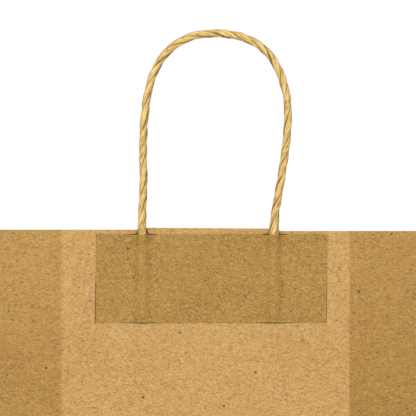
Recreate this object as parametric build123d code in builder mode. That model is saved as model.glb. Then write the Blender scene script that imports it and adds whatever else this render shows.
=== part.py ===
"""Paper gift bag with two twisted-cord handles, modelled as the separate pieces it is glued from.

Units are millimetres. +X is the bag's width, +Y points to its back and +Z is up. The origin is the
centre of the underside of the base. The bag stands open, with its front handle upright and its
back handle folded down behind the back panel. Every panel that turns about a crease is a piece of
its own, so that the bag can fold flat.
"""
import os
from math import pi, radians, tan

from build123d import *

# ---- Driving dimensions ---------------------------------------------------------------------
bag_width = 280.0          # outside, side to side
gusset_depth = 116.0       # outside, front to back
bag_height = 330.0         # base to cut top edge
sheet_thickness = 0.2      # kraft paper of the bag
patch_thickness = 0.25     # heavier paper of the handle patches
glue_thickness = 0.1       # every glue film

# Handle patches: two strips glued outside the panel, with the cord's ends between them.
patch_width = 131.4
patch_height = 50.0
patch_drop = 3.0           # below the bag's top edge
patch_shift = 3.3          # off the panel's centre line
patch_glue_margin = 2.0    # glue stops short of the patch's edges
ridge_width = 13.0         # foot of the raised paper over one cord end
cord_clearance = 0.05      # round the cord inside its patch

# Handle cord.
cord_diameter = 4.8
cord_end_length = 46.0     # length glued in under the patch

# Creases. A folding panel keeps this far off the panel that it folds against.
wall_fold_gap = 0.45       # front or back panel to folded gusset
centre_fold_gap = 0.15     # each gusset half to the centre fold axis
foot_fold_gap = 0.45       # back panel to its folded foot
base_fold_gap = 0.3        # foot to folded base
edge_gap = 0.1             # between the edges of two panels that meet at a crease

# Base flaps and the side seam.
front_flap_overlap = 12.0  # outer base flap past the centre line
back_flap_overlap = 14.0   # inner base flap past the centre line
tuck_depth = 45.0          # folded-in end of each gusset
seam_width = 20.0          # glued lap down the left back edge
seam_glue_margin = 2.0

# Route of one handle's cord, as (sideways, above the patch's top edge).
handle_route = [
    (-36.1, 0.0),
    (-36.1, 11.0),
    (-35.1, 30.0),
    (-35.8, 52.0),
    (-34.1, 76.0),
    (-29.6, 93.0),
    (-21.6, 105.4),
    (-9.0, 113.1),
    (6.5, 115.0),
    (22.4, 112.5),
    (34.5, 105.4),
    (42.2, 93.8),
    (46.9, 77.2),
    (46.9, 60.0),
    (44.5, 41.0),
    (41.3, 21.5),
    (39.0, 9.5),
    (39.0, 0.0),
]
arc_share = 0.45           # share of the shorter run that a corner's arc may use

# ---- Worked-out places ----------------------------------------------------------------------
half_width = bag_width / 2
half_depth = gusset_depth / 2
inner_x = half_width - sheet_thickness
inner_y = half_depth - sheet_thickness
foot_height = half_depth                    # crease across the back panel
cord_radius = cord_diameter / 2
hinge_height = bag_height - patch_drop      # the cords leave their patches here
hinge_reach = cord_diameter                 # a handle folds about a line this far outside its cord
backing_face = glue_thickness + patch_thickness
cord_reach = backing_face + cord_clearance + cord_radius
cord_end_places = [(handle_route[0][0], 0), (handle_route[-1][0], 0)]

front_flap_level = 0.0
back_flap_level = front_flap_level + sheet_thickness + glue_thickness
tuck_level = back_flap_level + sheet_thickness + glue_thickness
base_stack = tuck_level + sheet_thickness
base_edge_y = inner_y - edge_gap
gusset_bottom = base_stack + edge_gap
gusset_height = bag_height - gusset_bottom

# A face's local x runs to the right as seen from outside the bag, y is up and z points outwards.
front_face = Plane(origin=(0, -half_depth, 0), x_dir=(1, 0, 0), z_dir=(0, -1, 0))
back_face = Plane(origin=(0, half_depth, 0), x_dir=(-1, 0, 0), z_dir=(0, 1, 0))


def save(part, label):
    """Names a finished piece and writes it to its own STEP file."""
    part.label = label
    export_step(part, f"parts/{label}.step")


def panel_between(low, high):
    """A flat panel that fills the box between two corners."""
    size = [top - bottom for bottom, top in zip(low, high)]
    middle = [(top + bottom) / 2 for bottom, top in zip(low, high)]
    with BuildPart(Plane(origin=middle)) as panel:
        Box(*size)
    return panel.part


# ---- Walls ----------------------------------------------------------------------------------
def front_panel():
    return panel_between((-half_width, -half_depth, 0), (half_width, -inner_y, bag_height))


def back_panel():
    """The back panel above its crease."""
    return panel_between(
        (-half_width, inner_y, foot_height + edge_gap), (half_width, half_depth, bag_height)
    )


def back_panel_foot():
    """The strip of the back panel that folds outwards when the bag is laid flat."""
    return panel_between((-half_width, inner_y, 0), (half_width, half_depth, foot_height - edge_gap))


def gusset_half(side, end):
    """One half of a side gusset: side is -1 left or 1 right, end is -1 front or 1 back."""
    across = sorted([side * inner_x, side * half_width])
    along = sorted([end * edge_gap, end * (inner_y - edge_gap)])
    return panel_between(
        (across[0], along[0], gusset_bottom), (across[1], along[1], gusset_bottom + gusset_height)
    )


def seam_strip(low_z, high_z, level, thickness, margin):
    """A strip of the side seam inside the back panel, level being its distance from the panel."""
    start_x = -inner_x + wall_fold_gap
    return panel_between(
        (start_x + margin, inner_y - level - thickness, low_z),
        (start_x + seam_width - margin, inner_y - level, high_z),
    )


# ---- Base -----------------------------------------------------------------------------------
def base_front_flap():
    """The outer base flap, which the bag stands on."""
    return panel_between(
        (-half_width, -base_edge_y, front_flap_level),
        (half_width, front_flap_overlap, front_flap_level + sheet_thickness),
    )


def base_back_flap():
    return panel_between(
        (-half_width, -back_flap_overlap, back_flap_level),
        (half_width, base_edge_y, back_flap_level + sheet_thickness),
    )


def base_tuck(side):
    """The folded-in end of a gusset: a trapezium whose sloping sides are 45 degree folds."""
    edge_x = side * half_width
    tip_x = side * (half_width - tuck_depth)
    tip_y = base_edge_y - tuck_depth
    with BuildPart() as tuck:
        with BuildSketch(Plane.XY.offset(tuck_level)):
            with BuildLine():
                Polyline(
                    (edge_x, -base_edge_y),
                    (tip_x, -tip_y),
                    (tip_x, tip_y),
                    (edge_x, base_edge_y),
                    close=True,
                )
            make_face()
        extrude(amount=sheet_thickness)
    return tuck.part


def base_glue():
    """The glue between the two base flaps, where they overlap."""
    return panel_between(
        (-half_width + seam_glue_margin, -back_flap_overlap, front_flap_level + sheet_thickness),
        (half_width - seam_glue_margin, front_flap_overlap, back_flap_level),
    )


# ---- Handle patches -------------------------------------------------------------------------
def patch_glue(face):
    """The film that holds a patch to its panel."""
    with BuildPart() as film:
        with BuildSketch(face):
            with Locations((patch_shift, hinge_height - patch_height / 2)):
                Rectangle(patch_width - 2 * patch_glue_margin, patch_height - 2 * patch_glue_margin)
        extrude(amount=glue_thickness)
    return film.part


def patch_backing(face):
    """The inner strip of a patch, behind the cord's ends."""
    with BuildPart() as backing:
        with BuildSketch(face.offset(glue_thickness)):
            with Locations((patch_shift, hinge_height - patch_height / 2)):
                Rectangle(patch_width, patch_height)
        extrude(amount=patch_thickness)
    return backing.part


def patch_cover(face):
    """The outer strip of a patch, raised in a ridge over each cord end."""
    ridge_height = cord_diameter + 2 * cord_clearance
    half_ridge = ridge_width / 2
    ridge_radius = (half_ridge**2 + ridge_height**2) / (2 * ridge_height)
    ridge_centre = ridge_height - ridge_radius
    corner = face.from_local_coords((0, hinge_height, backing_face))
    # Local y points away from the bag, and the extrusion runs down the patch.
    with BuildPart() as cover:
        with BuildSketch(Plane(origin=corner, x_dir=face.x_dir, z_dir=(0, 0, -1))):
            with Locations((patch_shift, patch_thickness / 2)):
                Rectangle(patch_width, patch_thickness)
            with Locations(*[(x, ridge_centre) for x, _ in cord_end_places]):
                Circle(ridge_radius + patch_thickness)
            with Locations((patch_shift, -patch_width / 2)):
                Rectangle(2 * patch_width, patch_width, mode=Mode.SUBTRACT)
            with Locations(*[(x, ridge_centre) for x, _ in cord_end_places]):
                Circle(ridge_radius, mode=Mode.SUBTRACT)
        extrude(amount=patch_height)
    return cover.part


def cord_ends(face):
    """The two ends of a handle's cord that are glued in under its patch."""
    corner = face.from_local_coords((0, hinge_height, cord_reach))
    with BuildPart() as ends:
        with BuildSketch(Plane(origin=corner, x_dir=face.x_dir, z_dir=(0, 0, -1))):
            with Locations(*cord_end_places):
                Circle(cord_radius)
        extrude(amount=cord_end_length)
    return ends.part


def cord_bends(face):
    """The turns of a folded-down cord, from its upright ends over to its hanging legs."""
    corner = face.from_local_coords((0, hinge_height, cord_reach))
    axis_point = face.from_local_coords((0, hinge_height, cord_reach + hinge_reach))
    with BuildPart() as bends:
        with BuildSketch(Plane(origin=corner, x_dir=face.x_dir, z_dir=(0, 0, -1))):
            with Locations(*cord_end_places):
                Circle(cord_radius)
        revolve(axis=Axis(axis_point, face.x_dir), revolution_arc=180)
    return bends.part


# ---- Handle cords ---------------------------------------------------------------------------
def corner_radii(points):
    """The radius of the arc at each inner corner of a route, as large as its two runs allow."""
    places = [Vector(*point) for point in points]
    runs = [after - before for before, after in zip(places, places[1:])]
    radii = []
    for run, next_run in zip(runs, runs[1:]):
        shorter = min(run.length, next_run.length)
        turn = run.get_angle(next_run)
        radii.append(arc_share * shorter / tan(radians(turn) / 2))
    return radii


def handle_cord(plane):
    """One handle's cord, in a plane whose origin is on the hinge line and whose y is along the legs."""
    radii = corner_radii(handle_route)
    with BuildPart() as cord:
        with BuildLine(plane) as route:
            FilletPolyline(*handle_route, radius=radii)
        with BuildSketch(Plane(origin=route.line @ 0, z_dir=route.line % 0)):
            Circle(cord_radius)
        sweep()
    length = sum(edge.length for edge in route.edges())
    tube_volume = pi * cord_radius**2 * length
    print("cord radii:", " ".join(f"{radius:.0f}" for radius in radii))
    print(f"cord length {length:.1f}, volume over that of its tube {cord.part.volume / tube_volume:.4f}")
    return cord.part


upright_front = Plane(
    origin=front_face.from_local_coords((0, hinge_height, cord_reach)),
    x_dir=front_face.x_dir,
    z_dir=front_face.z_dir,
)
hanging_back = Plane(
    origin=back_face.from_local_coords((0, hinge_height, cord_reach + 2 * hinge_reach)),
    x_dir=back_face.x_dir,
    z_dir=-back_face.z_dir,
)

# ---- Crease lines ---------------------------------------------------------------------------
# Each panel turns about a line set off from the sheet by half of the gap it keeps when folded flat.
upright_creases = {                         # as (sideways, back)
    "front to gusset": (inner_x - wall_fold_gap, -inner_y),
    "gusset centre": (half_width + centre_fold_gap, 0),
    "back to gusset": (inner_x - wall_fold_gap, inner_y),
}
level_creases = {                           # as (back, up)
    "foot": (half_depth + foot_fold_gap, foot_height),
    "base": (inner_y - base_fold_gap, base_stack + base_fold_gap),
}
for crease_name, (sideways, back) in upright_creases.items():
    print(f"{crease_name} crease: x {sideways:.2f} either side, y {back:.2f}")
for crease_name, (back, up) in level_creases.items():
    print(f"{crease_name} crease: y {back:.2f}, z {up:.2f}")

# ---- Build and write every piece ------------------------------------------------------------
os.makedirs("parts", exist_ok=True)

save(front_panel(), "front_panel")
save(back_panel(), "back_panel")
save(back_panel_foot(), "back_panel_foot")

for side, side_name in ((-1, "left"), (1, "right")):
    for end, end_name in ((-1, "front"), (1, "back")):
        save(gusset_half(side, end), f"{side_name}_gusset_{end_name}_half")
    save(base_tuck(side), f"base_{side_name}_tuck")

lap_level = glue_thickness
upper_seam = (foot_height + edge_gap, bag_height)
lower_seam = (gusset_bottom, foot_height - edge_gap)
save(seam_strip(*upper_seam, lap_level, sheet_thickness, 0), "side_seam_lap")
save(seam_strip(*upper_seam, 0, glue_thickness, seam_glue_margin), "side_seam_glue")
save(seam_strip(*lower_seam, lap_level, sheet_thickness, 0), "foot_seam_lap")
save(seam_strip(*lower_seam, 0, glue_thickness, seam_glue_margin), "foot_seam_glue")

save(base_front_flap(), "base_front_flap")
save(base_back_flap(), "base_back_flap")
save(base_glue(), "base_glue")

for face, face_name in ((front_face, "front"), (back_face, "back")):
    save(patch_glue(face), f"{face_name}_patch_glue")
    save(patch_backing(face), f"{face_name}_patch_backing")
    save(patch_cover(face), f"{face_name}_patch_cover")
    save(cord_ends(face), f"{face_name}_cord_ends")

save(handle_cord(upright_front), "front_handle_cord")
save(handle_cord(hanging_back), "back_handle_cord")
save(cord_bends(back_face), "back_cord_bends")
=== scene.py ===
"""Looks of a kraft paper gift bag with twisted-cord handles, built round the CAD frame. Metres, Z up."""

from math import cos, exp, pi, radians, sin

import bmesh
import bpy
from mathutils import Matrix, Vector


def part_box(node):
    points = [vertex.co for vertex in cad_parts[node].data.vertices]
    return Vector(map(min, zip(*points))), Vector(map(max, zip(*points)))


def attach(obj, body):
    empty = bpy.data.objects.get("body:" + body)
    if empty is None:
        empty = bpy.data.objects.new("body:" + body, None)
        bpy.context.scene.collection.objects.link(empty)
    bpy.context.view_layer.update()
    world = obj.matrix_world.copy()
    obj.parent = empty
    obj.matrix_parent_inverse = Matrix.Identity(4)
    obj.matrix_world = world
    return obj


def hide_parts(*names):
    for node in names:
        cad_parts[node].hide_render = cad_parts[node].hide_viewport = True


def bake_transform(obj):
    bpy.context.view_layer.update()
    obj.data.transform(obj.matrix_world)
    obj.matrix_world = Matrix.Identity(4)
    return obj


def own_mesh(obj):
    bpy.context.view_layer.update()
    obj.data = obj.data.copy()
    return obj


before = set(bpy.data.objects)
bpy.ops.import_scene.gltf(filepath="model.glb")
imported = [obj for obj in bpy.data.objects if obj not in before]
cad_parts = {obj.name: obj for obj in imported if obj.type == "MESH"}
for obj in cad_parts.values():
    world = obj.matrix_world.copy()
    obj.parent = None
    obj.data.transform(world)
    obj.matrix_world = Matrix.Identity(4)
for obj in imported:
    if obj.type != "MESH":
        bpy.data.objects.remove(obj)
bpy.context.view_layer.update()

MM = 0.001

# ---- Places taken from the frame ------------------------------------------------------------
panel_low, panel_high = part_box("front_panel")
half_width = panel_high[0]
bag_height = panel_high[2]
front_y = panel_low[1]
back_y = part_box("back_panel")[1][1]
sheet_thickness = panel_high[1] - panel_low[1]
foot_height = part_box("back_panel")[0][2]
gusset_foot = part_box("right_gusset_front_half")[0][2]
patch_low, patch_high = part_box("front_patch_backing")
patch_top = patch_high[2]
patch_face_reach = front_y - patch_low[1]        # outer face of the backing, off the panel
cover_thickness = patch_high[1] - patch_low[1]
cord_low, cord_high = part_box("front_handle_cord")
cord_diameter = cord_high[1] - cord_low[1]
cord_y = (cord_low[1] + cord_high[1]) / 2
hanging_low, hanging_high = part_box("back_handle_cord")
hanging_y = (hanging_low[1] + hanging_high[1]) / 2
bend_radius = (hanging_y + cord_y) / 2           # of the folded-down cord over its hinge line
side_of = {"front": -1, "back": 1}               # which way a face looks along Y
face_y = {"front": front_y, "back": back_y}

# ---- Sizes of the paper's shape -------------------------------------------------------------
CORNER_RADIUS = 0.8 * MM       # of the bag's four upright folds
CORNER_STEPS = 4               # flats round each of them
SHARP_FOLD = 35                # degrees; edges that turn more than this are drawn sharp
PANEL_BULGE = 1.4 * MM         # how far the middle of a wall stands out
BULGE_END = 60 * MM            # the bulge has ended this far below the patch's top
COCKLE = 0.12 * MM             # unevenness of paper that has been damp with glue
CALM_FOOT = 20 * MM            # the waves fade out over this height at a wall's lower edge
CALM_PATCH = (62 * MM, 50 * MM)   # and between these distances below the patch's top
CALM_SHARE = 0.85              # share of the waves that the patch takes away
GUSSET_DIP = 10.0 * MM         # how far a gusset's centre crease falls in at the top
GUSSET_DROP = 0.3 * MM         # the gussets' top edge is this far below the bag's height
CELL = 3.0 * MM                # spacing of the points of a sheet
TOP_STEP = 2 * MM              # width of the step in the front's top edge beside a cord
TOP_LIFT = 1.05 * MM           # the edge is pulled up by this much at the left cord
TOP_SLOPE = 0.5 * MM           # and by this much less at the right one
TOP_DROP_LEFT = -0.05 * MM     # height of the edge outside the cords
TOP_DROP_RIGHT = -0.8 * MM
BACK_DROP = 0.4 * MM           # the back's top edge is this far below the bag's height
BACK_WAVE = 0.15 * MM          # and waves by this much
FLAT_SHARE = 0.5               # thickness of a cord pressed in its patch, of its diameter
FLAT_SPREAD = 0.15             # and how much wider it is there, of its width
OPENING_HEIGHT = 9 * MM        # a cord gets back its round section over this height
TENT_REACH = 3.9 * MM          # half width of the patch's rise over a cord end
TENT_SHOULDER = 2.6            # how square the rise's shoulders are; 2 is a bell
TENT_CLEARANCE = 0.15 * MM     # between a cord end and the strip over it
MOUTH_REACH = 9 * MM           # half width of the wider gap at the patch's top edge
MOUTH_SHARE = 0.12             # height of that gap, of the rise
FOOT_SHARE = 0.2               # height of the rise at the patch's lower edge, of its full height
SHADOW_TUCK = 1.0 * MM           # the painted shadow film reaches this far in under the patch
SHADOW_PROUD = 0.12 * MM         # and stands this far off the patch's inner strip
SHADOW_TRACE = 0.09 * MM         # its usual width outside the patch's top edge
SHADOW_CLIMB = 2.9 * MM          # its height against a cord
CLIMB_REACH = 0.95 * MM        # and how far from the cord it keeps that height
SHADOW_WEDGE = 0.5 * MM          # its height in the gap beside a cord
WEDGE_REACH = 5 * MM           # and how far from the cord it reaches
LOW_SHADOW = 0.42 * MM           # its width under a cord end, at the patch's lower edge
LOW_SHADOW_REACH = 9 * MM        # and how far to each side of it that width reaches
LOW_SHADOW_END = 15 * MM         # it has run out this far to each side
END_SHADOW = {"left": 0.36 * MM, "right": 0.2 * MM}   # its width at the patch's two ends
END_SHADOW_LOSS = 0.85           # share of that width that is lost in the patch's upper half
PATCH_SKEW = 0.6 * MM          # the patch's ends were cut this much out of square
STRAND_RADIUS = 2.15 * MM      # of a cord, before its lumps
GUSSET_SHADOW = half_width - (back_y - front_y) / 2   # where the painted gusset shade begins, this far out from the centre


# ---- Helpers --------------------------------------------------------------------------------
def linear(hex_colour):
    """An sRGB hex colour as linear RGBA."""
    channels = [int(hex_colour[i : i + 2], 16) / 255 for i in (0, 2, 4)]
    scene_light = [c / 12.92 if c <= 0.04045 else ((c + 0.055) / 1.055) ** 2.4 for c in channels]
    return (*scene_light, 1.0)


def add(tree, kind, inputs=None, **settings):
    """Adds a node with its settings; an input is given a value, or a socket to link from."""
    made = tree.nodes.new(kind)
    for key, value in settings.items():
        setattr(made, key, value)
    for key, value in (inputs or {}).items():
        if isinstance(value, bpy.types.NodeSocket):
            tree.links.new(value, made.inputs[key])
        else:
            made.inputs[key].default_value = value
    return made


def smooth_step(low, high, value):
    """0 up to low, 1 from high, and an even S between them."""
    share = min(max((value - low) / (high - low), 0.0), 1.0)
    return share * share * (3 - 2 * share)


def steps(low, high, spacing):
    """Evenly spaced values from low to high, about that far apart."""
    count = max(1, round(abs(high - low) / spacing))
    return [low + (high - low) * i / count for i in range(count + 1)]


# ---- Camera ---------------------------------------------------------------------------------
VIEW_WIDTH = 237.1 * MM        # width of the view at the front panel
VIEW_SIDE = 1.4 * MM           # the view's centre, right of the bag's
VIEW_RISE = 12.3 * MM          # and above its top edge
CAMERA_DROP = 60 * MM          # the camera is this far below the top edge, so the back wall is hidden
LENS = 200
SENSOR = 36


def place_camera():
    """A long lens, square on to the front panel and level, shifted up to the handle."""
    data = bpy.data.cameras.new("camera")
    data.lens = LENS
    data.sensor_width = SENSOR
    data.shift_y = (VIEW_RISE + CAMERA_DROP) / VIEW_WIDTH
    data.clip_end = 20
    camera = bpy.data.objects.new("camera", data)
    distance = VIEW_WIDTH * LENS / SENSOR
    camera.location = (VIEW_SIDE, front_y - distance, bag_height - CAMERA_DROP)
    camera.rotation_euler = (radians(90), 0, 0)
    bpy.context.collection.objects.link(camera)
    bpy.context.scene.camera = camera


# ---- Materials ------------------------------------------------------------------------------
def new_material(name, roughness, ior):
    """An empty node material with its surface shader."""
    material = bpy.data.materials.new(name)
    material.use_nodes = True
    tree = material.node_tree
    tree.nodes.clear()
    shader = add(tree, "ShaderNodeBsdfPrincipled", {"Roughness": roughness, "IOR": ior})
    add(tree, "ShaderNodeOutputMaterial", {"Surface": shader.outputs["BSDF"]})
    return material, tree, shader


def paper_tone(tree, place, grain_strength):
    """Sum of the paper's unevenness, about 0.5 on average: fine pulp grain, mottling and clouds."""
    # Pulp fibres lie mostly along the making direction, here level, so the grain is longer sideways.
    lying = add(tree, "ShaderNodeMapping", {"Vector": place, "Scale": (0.6, 0.6, 1.0)})
    total = None
    grain = None                   # the first and finest layer, which also gives the relief
    # Coordinates, size of the features, detail, strength.
    for where, size, detail, strength in (
        (place, 0.75 * MM, 2.0, grain_strength),
        (lying.outputs["Vector"], 1.3 * MM, 2.0, 0.35 * grain_strength),
        (place, 6 * MM, 2.0, 0.22),
        (place, 55 * MM, 1.0, 0.22),
    ):
        texture = add(
            tree, "ShaderNodeTexNoise",
            {"Vector": where, "Scale": 1 / size, "Detail": detail, "Roughness": 0.75},
        )
        grain = grain or texture.outputs["Fac"]
        part = add(tree, "ShaderNodeMath", {0: texture.outputs["Fac"], 1: 0.5}, operation="SUBTRACT")
        scaled = add(tree, "ShaderNodeMath", {0: part.outputs[0], 1: strength}, operation="MULTIPLY")
        if total is None:
            total = scaled.outputs[0]
        else:
            total = add(tree, "ShaderNodeMath", {0: total, 1: scaled.outputs[0]}).outputs[0]
    centred = add(tree, "ShaderNodeMath", {0: total, 1: 0.5})
    return centred.outputs[0], grain


def fleck_mask(tree, place, spacing, size, share):
    """1 in the middle of scattered specks, one to a cell of that spacing, in that share of the cells."""
    cells = add(tree, "ShaderNodeTexVoronoi", {"Vector": place, "Scale": 1 / spacing, "Randomness": 1.0})
    # A cell's random colour says whether it holds a speck, and how large the speck is.
    chance = add(tree, "ShaderNodeSeparateColor", {"Color": cells.outputs["Color"]})
    chosen = add(tree, "ShaderNodeMath", {0: chance.outputs["Red"], 1: share}, operation="LESS_THAN")
    reach = add(
        tree, "ShaderNodeMath", {0: chance.outputs["Green"], 1: size / spacing}, operation="MULTIPLY"
    )
    core = add(tree, "ShaderNodeMath", {0: reach.outputs[0], 1: 0.5}, operation="MULTIPLY")
    edge = add(
        tree, "ShaderNodeMapRange",
        {
            "Value": cells.outputs["Distance"],
            "From Min": core.outputs[0],
            "From Max": reach.outputs[0],
            "To Min": 1.0,
            "To Max": 0.0,
        },
    )
    mask = add(
        tree, "ShaderNodeMath", {0: edge.outputs["Result"], 1: chosen.outputs[0]}, operation="MULTIPLY"
    )
    return mask.outputs[0]


FIBRE_STRETCH = (3.0, 3.0, 1.0)    # a fibre is a speck drawn out three times


def paint_paper(tree, shader, dark, middle, light, grain_strength=1.45, fleck="5F340C"):
    """Unbleached sulphate pulp, calendered matt: level grain, dark bark specks and pale fibres."""
    place = add(tree, "ShaderNodeTexCoord").outputs["Object"]
    tone, grain = paper_tone(tree, place, grain_strength)
    ramp = add(tree, "ShaderNodeValToRGB", {"Fac": tone})
    ramp.color_ramp.elements[0].position = 0.15
    ramp.color_ramp.elements[0].color = linear(dark)
    ramp.color_ramp.elements[1].position = 0.85
    ramp.color_ramp.elements[1].color = linear(light)
    ramp.color_ramp.elements.new(0.5).color = linear(middle)
    colour = ramp.outputs["Color"]
    # Bark specks small and large, pale shives, then dark and pale fibres that lie at several slopes:
    # slope in degrees, spacing, size, share of the cells that hold one, tint, depth.
    for slope, spacing, size, share, tint, depth in (
        (None, 4.2 * MM, 0.8 * MM, 0.4, linear(fleck), 0.7),
        (None, 9.5 * MM, 1.05 * MM, 0.45, linear(fleck), 0.95),
        (None, 2.6 * MM, 0.8 * MM, 0.5, linear(light), 0.5),
        (4, 1.2 * MM, 0.5 * MM, 0.5, linear(fleck), 0.4),
        (31, 1.3 * MM, 0.5 * MM, 0.5, linear(fleck), 0.4),
        (-24, 1.4 * MM, 0.5 * MM, 0.5, linear(fleck), 0.4),
        (-9, 1.2 * MM, 0.55 * MM, 0.5, linear(light), 0.6),
        (47, 1.3 * MM, 0.55 * MM, 0.5, linear(light), 0.6),
    ):
        where = place
        if slope is not None:
            # In these coordinates a speck becomes a fibre.
            drawn_out = add(
                tree, "ShaderNodeMapping",
                {"Vector": place, "Rotation": (0.0, radians(slope), 0.0), "Scale": FIBRE_STRETCH},
                vector_type="TEXTURE",
            )
            where = drawn_out.outputs["Vector"]
        mask = fleck_mask(tree, where, spacing, size, share)
        strength = add(tree, "ShaderNodeMath", {0: mask, 1: depth}, operation="MULTIPLY")
        flecked = add(
            tree, "ShaderNodeMix", {"Factor": strength.outputs[0], "A": colour, "B": tint},
            data_type="RGBA",
        )
        colour = flecked.outputs["Result"]
    bump = add(tree, "ShaderNodeBump", {"Height": grain, "Strength": 0.25, "Distance": 0.05 * MM})
    tree.links.new(bump.outputs["Normal"], shader.inputs["Normal"])
    return place, grain, colour


PAPER_IOR = 1.5
GLUE_IOR = 1.47
KRAFT_TONES = ("B08041", "CA9D5B", "E0B97A")     # dark, middle and light
PATCH_TONES = ("8A6223", "AE863D", "CAA460")
CUT_TONES = ("B88C52", "CFA66C", "E6C48E")
GUSSET_SHADE_FADE = 110 * MM           # the painted gusset shade weakens over this height below the top edge


def kraft_paper():
    """Brown kraft of the bag: warm tan, dry and matt."""
    material, tree, shader = new_material("brown_kraft_paper", 0.82, PAPER_IOR)
    _, _, colour = paint_paper(tree, shader, *KRAFT_TONES)
    tree.links.new(colour, shader.inputs["Base Color"])
    return material


def gusset_shade_paper():
    """The same kraft on the large walls, with painted shade in two side bands where the gussets lie behind
    it when it is flat.
    """
    material, tree, shader = new_material("brown_kraft_paper_painted_gusset_shade", 0.82, PAPER_IOR)
    place, grain, colour = paint_paper(tree, shader, *KRAFT_TONES)
    split = add(tree, "ShaderNodeSeparateXYZ", {"Vector": place})
    height = add(
        tree, "ShaderNodeMapRange",
        {
            "Value": split.outputs["Z"],
            "From Min": bag_height - GUSSET_SHADE_FADE,
            "From Max": bag_height,
            "To Min": 1.0,
            "To Max": 0.0,
        },
    )
    # The grain shows more strongly in the painted shade.
    tint = add(
        tree, "ShaderNodeMix", {"Factor": grain, "A": linear("B9B083"), "B": linear("EADFAC")},
        data_type="RGBA",
    )
    # Each side's painted shade has a soft edge and a depth, at the top edge and well below it.
    for side, softness_top, softness_low, depth_top, depth_low in (
        (-1, 3.5 * MM, 2.5 * MM, 0.46, 0.72),
        (1, 1.2 * MM, 1.2 * MM, 0.52, 0.86),
    ):
        softness = add(
            tree, "ShaderNodeMapRange",
            {"Value": height.outputs["Result"], "To Min": softness_top, "To Max": softness_low},
        )
        depth = add(
            tree, "ShaderNodeMapRange",
            {"Value": height.outputs["Result"], "To Min": depth_top, "To Max": depth_low},
        )
        beyond = add(
            tree, "ShaderNodeMath",
            {0: split.outputs["X"], 1: side, 2: -GUSSET_SHADOW},
            operation="MULTIPLY_ADD",
        )
        inside = add(
            tree, "ShaderNodeMath",
            {0: beyond.outputs[0], 1: softness.outputs["Result"]},
            operation="DIVIDE",
        )
        band = add(
            tree, "ShaderNodeMapRange",
            {"Value": inside.outputs[0], "From Min": -0.5, "From Max": 0.5},
            interpolation_type="SMOOTHSTEP",
        )
        shade = add(
            tree, "ShaderNodeMath",
            {0: band.outputs["Result"], 1: depth.outputs["Result"]},
            operation="MULTIPLY",
        )
        band_shaded = add(
            tree, "ShaderNodeMix",
            {"Factor": shade.outputs[0], "A": colour, "B": tint.outputs["Result"]},
            data_type="RGBA", blend_type="MULTIPLY",
        )
        colour = band_shaded.outputs["Result"]
    tree.links.new(colour, shader.inputs["Base Color"])
    return material


def patch_paper():
    """Heavier, duller kraft of the handle patches, stiff with glue."""
    material, tree, shader = new_material("brown_kraft_patch_paper", 0.8, PAPER_IOR)
    _, _, colour = paint_paper(tree, shader, *PATCH_TONES, grain_strength=1.65, fleck="58380E")
    tree.links.new(colour, shader.inputs["Base Color"])
    return material


def cut_edge_paper():
    """Cut edge of the sheet: the same pulp, paler where the blade has opened the fibres."""
    material, tree, shader = new_material("cut_kraft_edge", 0.9, PAPER_IOR)
    _, _, colour = paint_paper(tree, shader, *CUT_TONES)
    tree.links.new(colour, shader.inputs["Base Color"])
    return material


def cord_paper():
    """Twisted kraft tissue of the cord: yellower and smoother, with fine ribs along the strand and painted
    shade in its creases.
    """
    material, tree, shader = new_material("twisted_kraft_tissue", 0.72, PAPER_IOR)
    lay = add(tree, "ShaderNodeAttribute", attribute_name="lay", attribute_type="GEOMETRY")
    crease = add(tree, "ShaderNodeAttribute", attribute_name="crease", attribute_type="GEOMETRY")
    # Ribs are as narrow as the folded tissue, about 0.6 mm, and run far along the strand.
    along = add(tree, "ShaderNodeMapping", {"Vector": lay.outputs["Vector"], "Scale": (1.0, 1.0, 0.12)})
    ribs = add(
        tree, "ShaderNodeTexNoise",
        {"Vector": along.outputs["Vector"], "Scale": 3.4, "Detail": 3.0, "Roughness": 0.6},
    )
    blotch = add(
        tree, "ShaderNodeTexNoise",
        {"Vector": lay.outputs["Vector"], "Scale": 0.7, "Detail": 2.0, "Roughness": 0.5},
    )
    mixed = add(
        tree, "ShaderNodeMix",
        {"Factor": 0.25, "A": ribs.outputs["Fac"], "B": blotch.outputs["Fac"]},
        data_type="FLOAT",
    )
    ramp = add(tree, "ShaderNodeValToRGB", {"Fac": mixed.outputs["Result"]})
    ramp.color_ramp.elements[0].position = 0.36
    ramp.color_ramp.elements[0].color = linear("9C722A")
    ramp.color_ramp.elements[1].position = 0.62
    ramp.color_ramp.elements[1].color = linear("FFE095")
    ramp.color_ramp.elements.new(0.47).color = linear("EBC172")
    # Painted shade: the crease attribute darkens the creases towards dark brown.
    creased = add(
        tree, "ShaderNodeMix",
        {"Factor": crease.outputs["Fac"], "A": ramp.outputs["Color"], "B": linear("38240A")},
        data_type="RGBA",
    )
    bump = add(
        tree, "ShaderNodeBump",
        {"Height": ribs.outputs["Fac"], "Strength": 0.7, "Distance": 0.4 * MM},
    )
    tree.links.new(bump.outputs["Normal"], shader.inputs["Normal"])
    tree.links.new(creased.outputs["Result"], shader.inputs["Base Color"])
    return material


def painted_shadow_film():
    """Painted shadow at the patch's edges: a dark amber film, half matt."""
    material, tree, shader = new_material("painted_patch_edge_shadow", 0.85, GLUE_IOR)
    place = add(tree, "ShaderNodeTexCoord").outputs["Object"]
    cloud = add(tree, "ShaderNodeTexNoise", {"Vector": place, "Scale": 1 / (1.2 * MM), "Detail": 2.0})
    brown = add(
        tree, "ShaderNodeMix",
        {"Factor": cloud.outputs["Fac"], "A": linear("2E1A06"), "B": linear("5A3A14")},
        data_type="RGBA",
    )
    tree.links.new(brown.outputs["Result"], shader.inputs["Base Color"])
    return material


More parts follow.
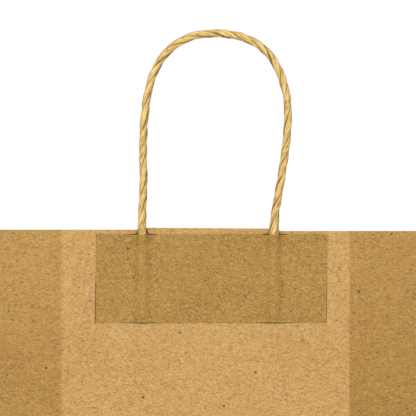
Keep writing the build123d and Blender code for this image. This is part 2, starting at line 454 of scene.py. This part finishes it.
def dried_glue():
    """Dried white paper glue: milky, a little glossy."""
    material, tree, shader = new_material("dried_paper_glue", 0.35, GLUE_IOR)
    place = add(tree, "ShaderNodeTexCoord").outputs["Object"]
    cloud = add(tree, "ShaderNodeTexNoise", {"Vector": place, "Scale": 1 / (1.5 * MM), "Detail": 2.0})
    milky = add(
        tree, "ShaderNodeMix",
        {"Factor": cloud.outputs["Fac"], "A": linear("CDBFA2"), "B": linear("F2EBDD")},
        data_type="RGBA",
    )
    tree.links.new(milky.outputs["Result"], shader.inputs["Base Color"])
    return material


# ---- Paper sheets ---------------------------------------------------------------------------
def new_object(name, mesh):
    """An object of that mesh, at the origin."""
    made = bpy.data.objects.new(name, mesh)
    bpy.context.collection.objects.link(made)
    return made


def paper_sheet(name, outer, inner, materials):
    """A closed sheet between two grids of points, each a list of rows from the bottom up.

    materials are those of the outer face, the inner face and the cut top edge.
    """
    rows = len(outer)
    columns = len(outer[0])
    points = [point for grid in (outer, inner) for row in grid for point in row]
    back = rows * columns

    def at(row, column):
        return row * columns + column

    faces = []
    slots = []
    for row in range(rows - 1):
        for column in range(columns - 1):
            quad = (
                at(row, column), at(row, column + 1), at(row + 1, column + 1), at(row + 1, column)
            )
            faces.append(quad)
            slots.append(0)
            faces.append(tuple(back + corner for corner in reversed(quad)))
            slots.append(1)
    for column in range(columns - 1):
        for row, slot in ((0, 0), (rows - 1, 2)):
            one, two = at(row, column), at(row, column + 1)
            faces.append((one, two, back + two, back + one)[:: -1 if row == 0 else 1])
            slots.append(slot)
    for row in range(rows - 1):
        for column in (0, columns - 1):
            one, two = at(row, column), at(row + 1, column)
            faces.append((one, two, back + two, back + one)[:: 1 if column == 0 else -1])
            slots.append(0)
    mesh = bpy.data.meshes.new(name)
    mesh.from_pydata(points, [], faces)
    for material in materials:
        mesh.materials.append(material)
    mesh.polygons.foreach_set("material_index", slots)
    mesh.shade_smooth()
    mesh.set_sharp_from_angle(angle=radians(SHARP_FOLD))
    sheet = new_object(name, mesh)
    face_outwards(sheet)
    return sheet


def face_outwards(piece):
    """Turns a closed mesh right side out."""
    work = bmesh.new()
    work.from_mesh(piece.data)
    bmesh.ops.recalc_face_normals(work, faces=work.faces)
    work.to_mesh(piece.data)
    work.free()


def cockle(along, height, seed):
    """Faint waves of the paper, in metres."""
    wave = sin(along / 0.031 + seed) * cos(height / 0.042 + 1.7 * seed)
    ripple = sin(along / 0.013 + height / 0.022 + 2.3 * seed)
    return COCKLE * (0.7 * wave + 0.3 * ripple)


def wall_bulge(x, z, low_z, seed):
    """How far a large wall stands out: nothing at its folds and behind the patch, most lower down."""
    across = 1 - (x / half_width) ** 2
    rise = min((z - low_z) / (patch_top - BULGE_END - low_z), 1.0)
    waves = cockle(x, z, seed) * min(across * 4, 1.0) * smooth_step(low_z, low_z + CALM_FOOT, z)
    behind_patch = smooth_step(patch_top - CALM_PATCH[0], patch_top - CALM_PATCH[1], z)
    return PANEL_BULGE * across * sin(pi * rise) ** 2 + waves * (1 - CALM_SHARE * behind_patch)


def wall_section(low_x, high_x):
    """Points across a large wall with its rounded folds, as (x, set back, inward x, inward share)."""
    left_corner = [
        (low_x + CORNER_RADIUS * (1 - cos(a)), CORNER_RADIUS * (1 - sin(a)), cos(a), sin(a))
        for a in (pi / 2 * step / CORNER_STEPS for step in range(CORNER_STEPS + 1))
    ]
    flat = [
        (x, 0.0, 0.0, 1.0)
        for x in steps(low_x + CORNER_RADIUS, high_x - CORNER_RADIUS, CELL)[1:-1]
    ]
    right_corner = [
        (low_x + high_x - x, set_back, -inward_x, inward)
        for x, set_back, inward_x, inward in reversed(left_corner)
    ]
    return left_corner + flat + right_corner


def large_wall(face_name, low_z, top_of, seed, materials):
    """The front or back panel, rounded at its upright folds; top_of gives its top edge's height."""
    side = side_of[face_name]
    section = wall_section(-half_width, half_width)
    outer, inner = [], []
    for share in steps(0.0, 1.0, CELL / (bag_height - low_z)):
        outer_row, inner_row = [], []
        for x, set_back, inward_x, inward in section:
            z = low_z + share * (top_of(x) - low_z)
            out = wall_bulge(x, z, low_z, seed) if inward == 1.0 else 0.0
            y = face_y[face_name] + side * (out - set_back)
            outer_row.append((x, y, z))
            inner_row.append(
                (x + inward_x * sheet_thickness, y - side * inward * sheet_thickness, z)
            )
        outer.append(outer_row)
        inner.append(inner_row)
    wall = paper_sheet(f"{face_name}_panel_paper", outer, inner, materials)
    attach(wall, f"{face_name}_wall")
    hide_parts(f"{face_name}_panel")
    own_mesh(wall)


def front_top(x):
    """Top edge of the front panel: pulled up between the cords, and lower on the right."""
    left_leg, right_leg = legs_of("front")
    between = smooth_step(left_leg - TOP_STEP / 2, left_leg + TOP_STEP / 2, x)
    between *= 1 - smooth_step(right_leg - TOP_STEP / 2, right_leg + TOP_STEP / 2, x)
    slope = (x - left_leg) / (right_leg - left_leg)
    outside = TOP_DROP_LEFT if x < 0 else TOP_DROP_RIGHT
    return bag_height + outside * (1 - between) + (TOP_LIFT - TOP_SLOPE * slope) * between


def back_top(x):
    """Top edge of the back panel, which waves a little."""
    return bag_height - BACK_DROP + BACK_WAVE * sin(x / 0.05)


def gusset_half(side_name, side, face_name, materials):
    """One half of a side gusset, which dips in towards its centre crease above the base."""
    body = f"{side_name}_gusset_{face_name}"
    end = side_of[face_name]
    reach = (back_y - front_y) / 2 - CORNER_RADIUS
    outer, inner = [], []
    for z in steps(gusset_foot, bag_height - GUSSET_DROP, CELL):
        outer_row, inner_row = [], []
        opening = smooth_step(foot_height * 0.7, bag_height * 1.25, z)
        for y in steps(0.0, reach, CELL):
            crease = 1 - y / reach
            dip = GUSSET_DIP * opening * crease + abs(cockle(y, z, side + 2 * end)) * crease
            x = side * (half_width - dip)
            outer_row.append((x, end * y, z))
            inner_row.append((x - side * sheet_thickness, end * y, z))
        outer.append(outer_row)
        inner.append(inner_row)
    sheet = paper_sheet(body + "_paper", outer, inner, materials)
    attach(sheet, body)
    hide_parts(body + "_half")
    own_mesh(sheet)


# ---- Handle patch ---------------------------------------------------------------------------
def opening_share(z):
    """1 where a cord leaves its patch round and whole, 0 where it is pressed flat inside."""
    return smooth_step(patch_top - OPENING_HEIGHT, patch_top, z)


def tent(x, z, legs):
    """How far the patch's outer strip stands off its inner one, over the cord ends."""
    top_share = opening_share(z)
    height = 0.0
    for leg in legs:
        skirt = MOUTH_SHARE * top_share * exp(-(((x - leg) / MOUTH_REACH) ** 2))
        rise = exp(-(abs((x - leg) / TENT_REACH) ** TENT_SHOULDER))
        height = max(height, (1 - skirt) * rise + skirt)
    risen = smooth_step(patch_low[2] + 0.5 * MM, patch_low[2] + 4 * MM, z)
    end_share = FOOT_SHARE + (1 - FOOT_SHARE) * risen
    flattened = FLAT_SHARE + (1 - FLAT_SHARE) * top_share
    return (cord_diameter * flattened + TENT_CLEARANCE) * height * end_share


def patch_cover(face_name, material):
    """The outer strip of a patch, rising smoothly over the two cord ends."""
    side = side_of[face_name]
    legs = legs_of(face_name)
    low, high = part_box(f"{face_name}_patch_backing")
    face = low[1] if side < 0 else high[1]
    outer, inner = [], []
    for z in steps(low[2], high[2], 1.0 * MM):
        outer_row, inner_row = [], []
        skew = PATCH_SKEW * ((z - low[2]) / (high[2] - low[2]) - 0.5)
        for x in steps(low[0], high[0], 0.5 * MM):
            y = face + side * tent(x + skew, z, legs)
            inner_row.append((x + skew, y, z))
            outer_row.append((x + skew, y + side * cover_thickness, z))
        outer.append(outer_row)
        inner.append(inner_row)
    cover = paper_sheet(f"{face_name}_patch_cover_paper", outer, inner, [material] * 3)
    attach(cover, f"{face_name}_wall")
    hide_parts(f"{face_name}_patch_cover")


def shadow_strip(face_name, place_name, edge, reaches, material):
    """A thin dark film of painted shadow on a wall along a patch edge; reaches are its widths outside the
    edge.

    edge is a list of (place, outward) pairs, each of them (x, z).
    """
    film_y = face_y[face_name]
    outer_y = film_y + side_of[face_name] * (patch_face_reach + SHADOW_PROUD)
    grids = []
    for y in (outer_y, film_y):
        tucked, shown = [], []
        for ((x, z), (out_x, out_z)), reach in zip(edge, reaches):
            tucked.append((x - out_x * SHADOW_TUCK, y, z - out_z * SHADOW_TUCK))
            shown.append((x + out_x * reach, y, z + out_z * reach))
        grids.append([tucked, shown])
    film = paper_sheet(f"{face_name}_{place_name}", *grids, [material] * 3)
    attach(film, f"{face_name}_wall")


def mouth_shadow(face_name, leg, number, direction, reach, material):
    """Painted shadow along the patch's top edge, from a cord out to reach in that direction, with its
    climb against the cord, its wedge in the gap beside it and the trace that runs on."""
    _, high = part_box(f"{face_name}_patch_backing")
    away = steps(STRAND_RADIUS, reach, 0.25 * MM)
    edge = [((leg + direction * d, high[2]), (0, 1)) for d in away]
    climb = [SHADOW_CLIMB * exp(-(((d - STRAND_RADIUS) / CLIMB_REACH) ** 6)) for d in away]
    wedge = [SHADOW_WEDGE * exp(-(((d - STRAND_RADIUS) / WEDGE_REACH) ** 2)) for d in away]
    trace = [SHADOW_TRACE * (1 + 0.8 * sin(d / (3.1 * MM) + number)) for d in away]
    reaches = [sum(parts) for parts in zip(climb, wedge, trace)]
    place_name = f"top_glue_{number}_{'right' if direction > 0 else 'left'}"
    shadow_strip(face_name, place_name, edge, reaches, material)


def low_shadow(face_name, leg, number, material):
    """Painted shadow along the patch's lower edge, under one cord end."""
    low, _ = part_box(f"{face_name}_patch_backing")
    across = steps(-LOW_SHADOW_END, LOW_SHADOW_END, 0.5 * MM)
    edge = [((leg + d, low[2]), (0, -1)) for d in across]
    reaches = [LOW_SHADOW * exp(-((d / LOW_SHADOW_REACH) ** 2)) for d in across]
    shadow_strip(face_name, f"low_glue_{number}", edge, reaches, material)


def end_shadow(face_name, end_name, end_x, out, material):
    """Painted shadow along one of the patch's upright ends, widest in its lower half."""
    low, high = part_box(f"{face_name}_patch_backing")
    middle = (low[2] + high[2]) / 2
    slant = PATCH_SKEW / (high[2] - low[2])
    heights = steps(low[2], high[2], 1 * MM)
    edge = [((end_x + slant * (z - middle), z), (out, 0)) for z in heights]
    reaches = []
    for z in heights:
        lost = END_SHADOW_LOSS * smooth_step(middle - 9 * MM, middle + 9 * MM, z)
        reaches.append(END_SHADOW[end_name] * (1 - lost))
    # This strip at the patch's end is painted shadow.
    shadow_strip(face_name, f"{end_name}_glue", edge, reaches, material)


def patch_edge_shadows(face_name, material):
    """Painted shadow round a patch: most beside the cords, where the strips part, and a trace elsewhere.
    """
    low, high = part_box(f"{face_name}_patch_backing")
    legs = sorted(legs_of(face_name))
    between = (legs[1] - legs[0]) / 2
    reaches = ((legs[0] - low[0], between), (between, high[0] - legs[1]))
    for number, leg in enumerate(legs):
        for direction, reach in zip((-1, 1), reaches[number]):
            mouth_shadow(face_name, leg, number, direction, reach, material)
        low_shadow(face_name, leg, number, material)
    end_shadow(face_name, "left", low[0], -1, material)
    end_shadow(face_name, "right", high[0], 1, material)


# Dots of white glue on a patch's lower edge, as (sideways, below the edge, radius) in mm.
SPECKS = (
    (-52.5, 0.1, 0.35), (-50.9, 0.0, 0.5), (-48.8, 0.2, 0.3), (-44.2, 0.3, 0.25), (-12.0, 0.2, 0.25),
    (16.5, 0.3, 0.3), (31.0, 0.2, 0.25), (57.4, -0.1, 0.4), (59.0, -0.2, 0.6), (60.6, 0.0, 0.3),
)


def glue_specks(face_name, material):
    """Small dots of white glue along a patch's lower edge."""
    side = side_of[face_name]
    low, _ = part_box(f"{face_name}_patch_backing")
    work = bmesh.new()
    for across, below, radius in SPECKS:
        place = Matrix.Translation((-side * across * MM, face_y[face_name], low[2] - below * MM))
        flatten = Matrix.Diagonal((1.5, 1.0, 0.8, 1.0))
        bmesh.ops.create_icosphere(work, subdivisions=2, radius=radius * MM, matrix=place @ flatten)
    mesh = bpy.data.meshes.new(f"{face_name}_glue_specks")
    work.to_mesh(mesh)
    work.free()
    mesh.materials.append(material)
    mesh.shade_smooth()
    specks = new_object(mesh.name, mesh)
    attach(specks, f"{face_name}_wall")


# ---- Handle cords ---------------------------------------------------------------------------
# Route of one handle's cord, as (sideways, above the patch's top edge).
cord_route = [
    (-0.0361, 0.0),
    (-0.0361, 0.0110),
    (-0.0351, 0.0300),
    (-0.0358, 0.0520),
    (-0.0341, 0.0760),
    (-0.0296, 0.0930),
    (-0.0216, 0.1054),
    (-0.0090, 0.1131),
    (0.0065, 0.1150),
    (0.0224, 0.1125),
    (0.0345, 0.1054),
    (0.0422, 0.0938),
    (0.0469, 0.0772),
    (0.0469, 0.0600),
    (0.0445, 0.0410),
    (0.0413, 0.0215),
    (0.0390, 0.0095),
    (0.0390, 0.0),
]
LAY_LENGTH = 36 * MM           # one turn of the twist
RING_SPACING = 0.5 * MM
RING_POINTS = 64
CREASE_DEPTH = 0.34 * MM
FOLD_HEIGHT = 0.45 * MM
LUMP_HEIGHT = 0.6 * MM
CORD_FLARES = (0.3 * MM, 0.65 * MM)   # how much wider the cord is where it leaves its patch
BEND_LIFT = 1.4 * MM           # the route turns over this far above the back cord's bend
FRONT_SEED = 3.0               # each seed gives a cord its own creases
BACK_SEED = 57.0
END_SEEDS = (20.0, 29.0)


def legs_of(face_name):
    """Where the two legs of a handle's cord stand across the bag, in the route's order."""
    return tuple(-side_of[face_name] * place[0] for place in (cord_route[0], cord_route[-1]))


def route_curve(name, points):
    """A smooth open curve with those control points and no thickness."""
    data = bpy.data.curves.new(name, "CURVE")
    data.dimensions = "3D"
    data.resolution_u = 16
    spline = data.splines.new("NURBS")
    spline.points.add(len(points) - 1)
    for control, point in zip(spline.points, points):
        control.co = (*point, 1.0)
    spline.order_u = 3
    spline.use_endpoint_u = True
    curve = bpy.data.objects.new(name, data)
    bpy.context.collection.objects.link(curve)
    return curve


def points_along(curve):
    """Points along the curve, in order, as its mesh gives them."""
    bpy.context.view_layer.update()
    evaluated = curve.evaluated_get(bpy.context.evaluated_depsgraph_get())
    mesh = bpy.data.meshes.new_from_object(evaluated)
    points = [vertex.co.copy() for vertex in mesh.vertices]
    bpy.data.meshes.remove(mesh)
    return points


# Round the strand, as (share of a turn, amount): how sunk its creases are and how dark their painted
# shade is, and how far each overlapping fold of the tissue stands out.
CREASES = (
    (0.0, 0.0), (0.035, 0.0), (0.05, 0.4), (0.065, 0.0), (0.074, 0.15), (0.095, 1.0), (0.116, 0.15),
    (0.13, 0.0), (0.145, 0.45), (0.16, 0.0), (0.26, 0.0), (0.275, 0.4), (0.29, 0.0), (0.375, 0.15),
    (0.398, 1.0), (0.421, 0.15), (0.43, 0.0), (0.445, 0.6), (0.46, 0.0), (0.58, 0.0), (0.60, 0.5),
    (0.615, 0.0), (0.686, 0.15), (0.71, 1.0), (0.734, 0.15), (0.745, 0.0), (0.76, 0.55), (0.775, 0.0),
    (0.88, 0.0), (0.90, 0.4), (0.92, 0.0), (1.0, 0.0),
)
FOLDS = (
    (0.0, 0.40), (0.085, 0.10), (0.12, 1.0), (0.25, 0.70), (0.39, 0.08), (0.425, 0.95), (0.55, 0.60),
    (0.705, 0.12), (0.745, 0.9), (0.88, 0.62), (1.0, 0.40),
)


def draw_line(curve_node, shape):
    """Gives a curve node's line the points of that shape, joined smoothly."""
    line = curve_node.mapping.curves[0]
    line.points[0].location = shape[0]
    line.points[1].location = shape[-1]
    for place in shape[1:-1]:
        line.points.new(*place)
    for point in line.points:
        point.handle_type = "AUTO_CLAMPED"
    curve_node.mapping.update()


def twisted_cord_tree():
    """Sweeps a creased section along a curve with a steady twist."""
    tree = bpy.data.node_groups.new("twisted_cord", "GeometryNodeTree")
    sockets = tree.interface
    sockets.new_socket("Route", in_out="INPUT", socket_type="NodeSocketGeometry")
    for label in (
        "Radius", "Lay length", "Ring spacing", "Crease depth", "Fold height", "Start flare", "End flare",
    ):
        sockets.new_socket(label, in_out="INPUT", socket_type="NodeSocketFloat")
    sockets.new_socket("Seed", in_out="INPUT", socket_type="NodeSocketFloat")
    sockets.new_socket("Material", in_out="INPUT", socket_type="NodeSocketMaterial")
    sockets.new_socket("Cord", in_out="OUTPUT", socket_type="NodeSocketGeometry")
    given = add(tree, "NodeGroupInput").outputs

    rings = add(
        tree, "GeometryNodeResampleCurve",
        {"Curve": given["Route"], "Length": given["Ring spacing"]}, mode="LENGTH",
    )
    run = add(tree, "GeometryNodeSplineParameter").outputs["Length"]
    kept_run = add(tree, "GeometryNodeCaptureAttribute", {"Geometry": rings.outputs[0]})
    kept_run.capture_items.new("FLOAT", "run")
    kept_run.capture_items.new("FLOAT", "share")
    tree.links.new(run, kept_run.inputs[1])
    tree.links.new(add(tree, "GeometryNodeSplineParameter").outputs["Factor"], kept_run.inputs[2])
    turns = add(tree, "ShaderNodeMath", {0: run, 1: given["Lay length"]}, operation="DIVIDE")
    wander = add(
        tree, "ShaderNodeTexNoise",
        {"W": turns.outputs[0], "Scale": 0.9, "Detail": 1.0}, noise_dimensions="1D",
    )
    uneven = add(
        tree, "ShaderNodeMath",
        {0: wander.outputs["Fac"], 1: 0.3, 2: turns.outputs[0]},
        operation="MULTIPLY_ADD",
    )
    tilt = add(tree, "ShaderNodeMath", {0: uneven.outputs[0], 1: 2 * pi}, operation="MULTIPLY")
    twisted = add(
        tree, "GeometryNodeSetCurveTilt", {"Curve": kept_run.outputs[0], "Tilt": tilt.outputs[0]}
    )

    section = add(
        tree, "GeometryNodeCurvePrimitiveCircle",
        {"Resolution": RING_POINTS, "Radius": given["Radius"]}, mode="RADIUS",
    )
    kept_turn = add(tree, "GeometryNodeCaptureAttribute", {"Geometry": section.outputs[0]})
    kept_turn.capture_items.new("FLOAT", "turn")
    tree.links.new(add(tree, "GeometryNodeSplineParameter").outputs["Factor"], kept_turn.inputs[1])
    tube = add(
        tree, "GeometryNodeCurveToMesh",
        {"Curve": twisted.outputs[0], "Profile Curve": kept_turn.outputs[0], "Fill Caps": True},
    )

    # The strand's own space: round its section, and along it in radii.
    angle = add(tree, "ShaderNodeMath", {0: kept_turn.outputs[1], 1: 2 * pi}, operation="MULTIPLY")
    round_x = add(tree, "ShaderNodeMath", {0: angle.outputs[0]}, operation="COSINE")
    round_y = add(tree, "ShaderNodeMath", {0: angle.outputs[0]}, operation="SINE")
    radii = add(tree, "ShaderNodeMath", {0: kept_run.outputs[1], 1: given["Radius"]}, operation="DIVIDE")
    shifted = add(tree, "ShaderNodeMath", {0: radii.outputs[0], 1: given["Seed"]})
    lay = add(
        tree, "ShaderNodeCombineXYZ",
        {"X": round_x.outputs[0], "Y": round_y.outputs[0], "Z": shifted.outputs[0]},
    )

    # Creases come and go along the cord.
    slow = add(
        tree, "ShaderNodeVectorMath", {0: lay.outputs[0], 1: (1.0, 1.0, 0.22)}, operation="MULTIPLY"
    )
    patchy = add(tree, "ShaderNodeTexNoise", {"Vector": slow.outputs[0], "Scale": 1.0, "Detail": 1.0})
    strength = add(
        tree, "ShaderNodeMapRange",
        {"Value": patchy.outputs["Fac"], "From Min": 0.30, "From Max": 0.42},
    )
    depth = add(tree, "ShaderNodeFloatCurve", {"Value": kept_turn.outputs[1]})
    draw_line(depth, CREASES)
    crease = add(
        tree, "ShaderNodeMath",
        {0: depth.outputs[0], 1: strength.outputs["Result"]},
        operation="MULTIPLY",
    )
    sunk = add(
        tree, "ShaderNodeMath", {0: crease.outputs[0], 1: given["Crease depth"]}, operation="MULTIPLY"
    )
    # Overlapping folds, flats and lumps between the creases.
    fold = add(tree, "ShaderNodeFloatCurve", {"Value": kept_turn.outputs[1]})
    draw_line(fold, FOLDS)
    raised = add(tree, "ShaderNodeMath", {0: fold.outputs[0], 1: 0.5}, operation="SUBTRACT")
    step = add(
        tree, "ShaderNodeMath", {0: raised.outputs[0], 1: given["Fold height"]}, operation="MULTIPLY"
    )
    flats = add(
        tree, "ShaderNodeVectorMath", {0: lay.outputs[0], 1: (1.0, 1.0, 0.3)}, operation="MULTIPLY"
    )
    lumps = add(tree, "ShaderNodeTexNoise", {"Vector": flats.outputs[0], "Scale": 1.3, "Detail": 2.0})
    lump = add(tree, "ShaderNodeMath", {0: lumps.outputs["Fac"], 1: 0.5}, operation="SUBTRACT")
    bulge = add(tree, "ShaderNodeMath", {0: lump.outputs[0], 1: LUMP_HEIGHT}, operation="MULTIPLY")
    swell = add(tree, "ShaderNodeMath", {0: bulge.outputs[0], 1: step.outputs[0]})
    out = add(tree, "ShaderNodeMath", {0: swell.outputs[0], 1: sunk.outputs[0]}, operation="SUBTRACT")
    # The strand opens where it is pressed flat in its patch.
    for label, far, near in (("Start flare", 0.05, 0.0), ("End flare", 0.95, 1.0)):
        near_end = add(
            tree, "ShaderNodeMapRange",
            {"Value": kept_run.outputs[2], "From Min": far, "From Max": near, "To Max": given[label]},
        )
        out = add(tree, "ShaderNodeMath", {0: out.outputs[0], 1: near_end.outputs["Result"]})
    push = add(
        tree, "ShaderNodeVectorMath",
        {0: add(tree, "GeometryNodeInputNormal").outputs[0], "Scale": out.outputs[0]},
        operation="SCALE",
    )
    shaped = add(tree, "GeometryNodeSetPosition", {"Geometry": tube.outputs[0], "Offset": push.outputs[0]})
    with_lay = add(
        tree, "GeometryNodeStoreNamedAttribute",
        {"Geometry": shaped.outputs[0], "Name": "lay", "Value": lay.outputs[0]},
        data_type="FLOAT_VECTOR", domain="POINT",
    )
    # The crease share is kept for the painted shade in the creases.
    with_crease = add(
        tree, "GeometryNodeStoreNamedAttribute",
        {"Geometry": with_lay.outputs[0], "Name": "crease", "Value": crease.outputs[0]},
        data_type="FLOAT", domain="POINT",
    )
    real = add(tree, "GeometryNodeRealizeInstances", {"Geometry": with_crease.outputs[0]})
    finished = add(
        tree, "GeometryNodeSetMaterial",
        {"Geometry": real.outputs[0], "Material": given["Material"]},
    )
    add(tree, "NodeGroupOutput", {"Cord": finished.outputs[0]})
    return tree


def twisted_cord(name, route, material, seed, flares=(0.0, 0.0)):
    """The mesh of a twisted cord that follows a route, with the points of its centre line."""
    curve = route_curve(name + "_route", route)
    path = points_along(curve)
    modifier = curve.modifiers.new("twist", "NODES")
    modifier.node_group = cord_tree
    values = {
        "Radius": STRAND_RADIUS,
        "Lay length": LAY_LENGTH,
        "Ring spacing": RING_SPACING,
        "Crease depth": CREASE_DEPTH,
        "Fold height": FOLD_HEIGHT,
        "Start flare": flares[0],
        "End flare": flares[1],
        "Seed": seed,
        "Material": material,
    }
    for item in cord_tree.interface.items_tree:
        if item.in_out == "INPUT" and item.name in values:
            modifier[item.identifier] = values[item.name]
    bpy.context.view_layer.update()
    evaluated = curve.evaluated_get(bpy.context.evaluated_depsgraph_get())
    mesh = bpy.data.meshes.new_from_object(evaluated)
    bpy.data.objects.remove(curve)
    mesh.name = name
    mesh.shade_smooth()
    return new_object(name, mesh), path


def cord_ends(face_name, material):
    """The two ends of a cord inside its patch, pressed flat below the patch's top edge."""
    side = side_of[face_name]
    low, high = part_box(f"{face_name}_cord_ends")
    face = face_y[face_name] + side * patch_face_reach
    for number, x in enumerate(legs_of(face_name)):
        route = [(x, side * -cord_y, z) for z in (low[2], (low[2] + high[2]) / 2, high[2])]
        end, _ = twisted_cord(f"{face_name}_cord_end_{number}", route, material, END_SEEDS[number])
        for vertex in end.data.vertices:
            share = opening_share(vertex.co.z)
            vertex.co.y = face + (vertex.co.y - face) * (FLAT_SHARE + (1 - FLAT_SHARE) * share)
            vertex.co.x = x + (vertex.co.x - x) * (1 + FLAT_SPREAD - FLAT_SPREAD * share)
        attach(end, f"{face_name}_wall")
        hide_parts(f"{face_name}_cord_ends")


def front_cord(material):
    """The upright front handle, its root in the patch."""
    route = [(x, cord_y, patch_top + rise) for x, rise in cord_route]
    cord, path = twisted_cord("front_twisted_cord", route, material, FRONT_SEED, CORD_FLARES)
    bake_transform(cord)
    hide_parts("front_handle_cord")


def back_cord(material):
    """The folded-down back handle: out of its patch, over its hinge line and down outside the panel."""
    rise = bend_radius + BEND_LIFT
    over = [(-cord_y, 0.0), (-cord_y, rise)]
    down = [(hanging_y, rise)]
    first, last = legs_of("back")
    route = [(first, y, patch_top + z) for y, z in over + down]
    route += [(-x, hanging_y, patch_top - drop) for x, drop in cord_route[1:-1]]
    route += [(last, y, patch_top + z) for y, z in reversed(over + down)]
    cord, path = twisted_cord("back_twisted_cord", route, material, BACK_SEED, CORD_FLARES)
    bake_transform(cord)
    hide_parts("back_handle_cord", "back_cord_bends")


# ---- Light and floor ------------------------------------------------------------------------
FILL_LIGHT = 0.35              # strength of the white surround as it falls on the bag
KEY_LIGHT = 14.0               # watts, in front
BACK_LIGHT = 12                # watts, behind and above


def studio():
    """A white surround that lights only faintly, soft lights in front and behind, and a pale floor."""
    scene = bpy.context.scene
    scene.view_settings.view_transform = "Standard"
    world = bpy.data.worlds.new("surround")
    scene.world = world
    world.use_nodes = True
    tree = world.node_tree
    seen = add(tree, "ShaderNodeLightPath").outputs["Is Camera Ray"]
    strength = add(tree, "ShaderNodeMapRange", {"Value": seen, "To Min": FILL_LIGHT, "To Max": 1.0})
    surround = tree.nodes["Background"]
    surround.inputs["Color"].default_value = (1, 1, 1, 1)
    tree.links.new(strength.outputs["Result"], surround.inputs["Strength"])
    # Name, watts, width, place, and how far back the light is aimed.
    lights = (
        ("soft_light", KEY_LIGHT, 0.5, (-0.15, -1.5, bag_height + 0.45), front_y),
        ("back_light", BACK_LIGHT, 1.2, (0.5, 1.7, bag_height + 0.9), back_y),
    )
    for name, power, size, place, lit_y in lights:
        lamp_data = bpy.data.lights.new(name, "AREA")
        lamp_data.energy = power
        lamp_data.size = size
        lamp = bpy.data.objects.new(name, lamp_data)
        lamp.location = place
        aim = Vector((0, lit_y, bag_height)) - lamp.location
        lamp.rotation_euler = aim.to_track_quat("-Z", "Y").to_euler()
        bpy.context.collection.objects.link(lamp)
    bpy.ops.mesh.primitive_plane_add(size=6, location=(0, 0, 0))
    floor = bpy.context.object
    floor.name = "floor"
    material, tree, shader = new_material("pale_floor_paint", 0.9, 1.5)
    place = add(tree, "ShaderNodeTexCoord").outputs["Object"]
    soft = add(tree, "ShaderNodeTexNoise", {"Vector": place, "Scale": 3.0})
    pale = add(
        tree, "ShaderNodeMix",
        {"Factor": soft.outputs["Fac"], "A": linear("E6E5E2"), "B": linear("ECEBE8")},
        data_type="RGBA",
    )
    tree.links.new(pale.outputs["Result"], shader.inputs["Base Color"])
    floor.data.materials.append(material)


# ---- Build ----------------------------------------------------------------------------------
place_camera()
cord_tree = twisted_cord_tree()
cord_material = cord_paper()
front_cord(cord_material)
back_cord(cord_material)
for face_name in side_of:
    cord_ends(face_name, cord_material)

kraft = kraft_paper()
gusset_shaded_kraft = gusset_shade_paper()
patch_kraft = patch_paper()
cut_edge = cut_edge_paper()
glue = dried_glue()
# Dark amber material for the painted shadow round the patches.
edge_shadow_material = painted_shadow_film()

# The back wall reaches down to its foot, with which it is one sheet.
foot_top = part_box("back_panel_foot")[1][2]
# Both large walls carry the painted gusset shade on their outer faces.
large_wall("front", 0.0, front_top, 0.4, (gusset_shaded_kraft, kraft, cut_edge))
large_wall("back", foot_top, back_top, 2.9, (gusset_shaded_kraft, kraft, cut_edge))
for side_name, side in (("left", -1), ("right", 1)):
    for face_name in side_of:
        gusset_half(side_name, side, face_name, (kraft, kraft, cut_edge))
for face_name in side_of:
    patch_cover(face_name, patch_kraft)
for face_name in side_of:
    glue_specks(face_name, glue)
for face_name in side_of:
    # Dark films of painted shadow round the patches.
    patch_edge_shadows(face_name, edge_shadow_material)

finishes = {
    # The back wall's foot carries the same painted gusset shade.
    gusset_shaded_kraft: ("back_panel_foot",),
    kraft: (
        "side_seam_lap", "foot_seam_lap", "base_front_flap", "base_back_flap", "base_left_tuck",
        "base_right_tuck",
    ),
    patch_kraft: ("front_patch_backing", "back_patch_backing"),
    glue: (
        "front_patch_glue", "back_patch_glue", "side_seam_glue", "foot_seam_glue", "base_glue",
    ),
}
for material, nodes in finishes.items():
    for node in nodes:
        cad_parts[node].data.materials.clear()
        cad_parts[node].data.materials.append(material)

studio()
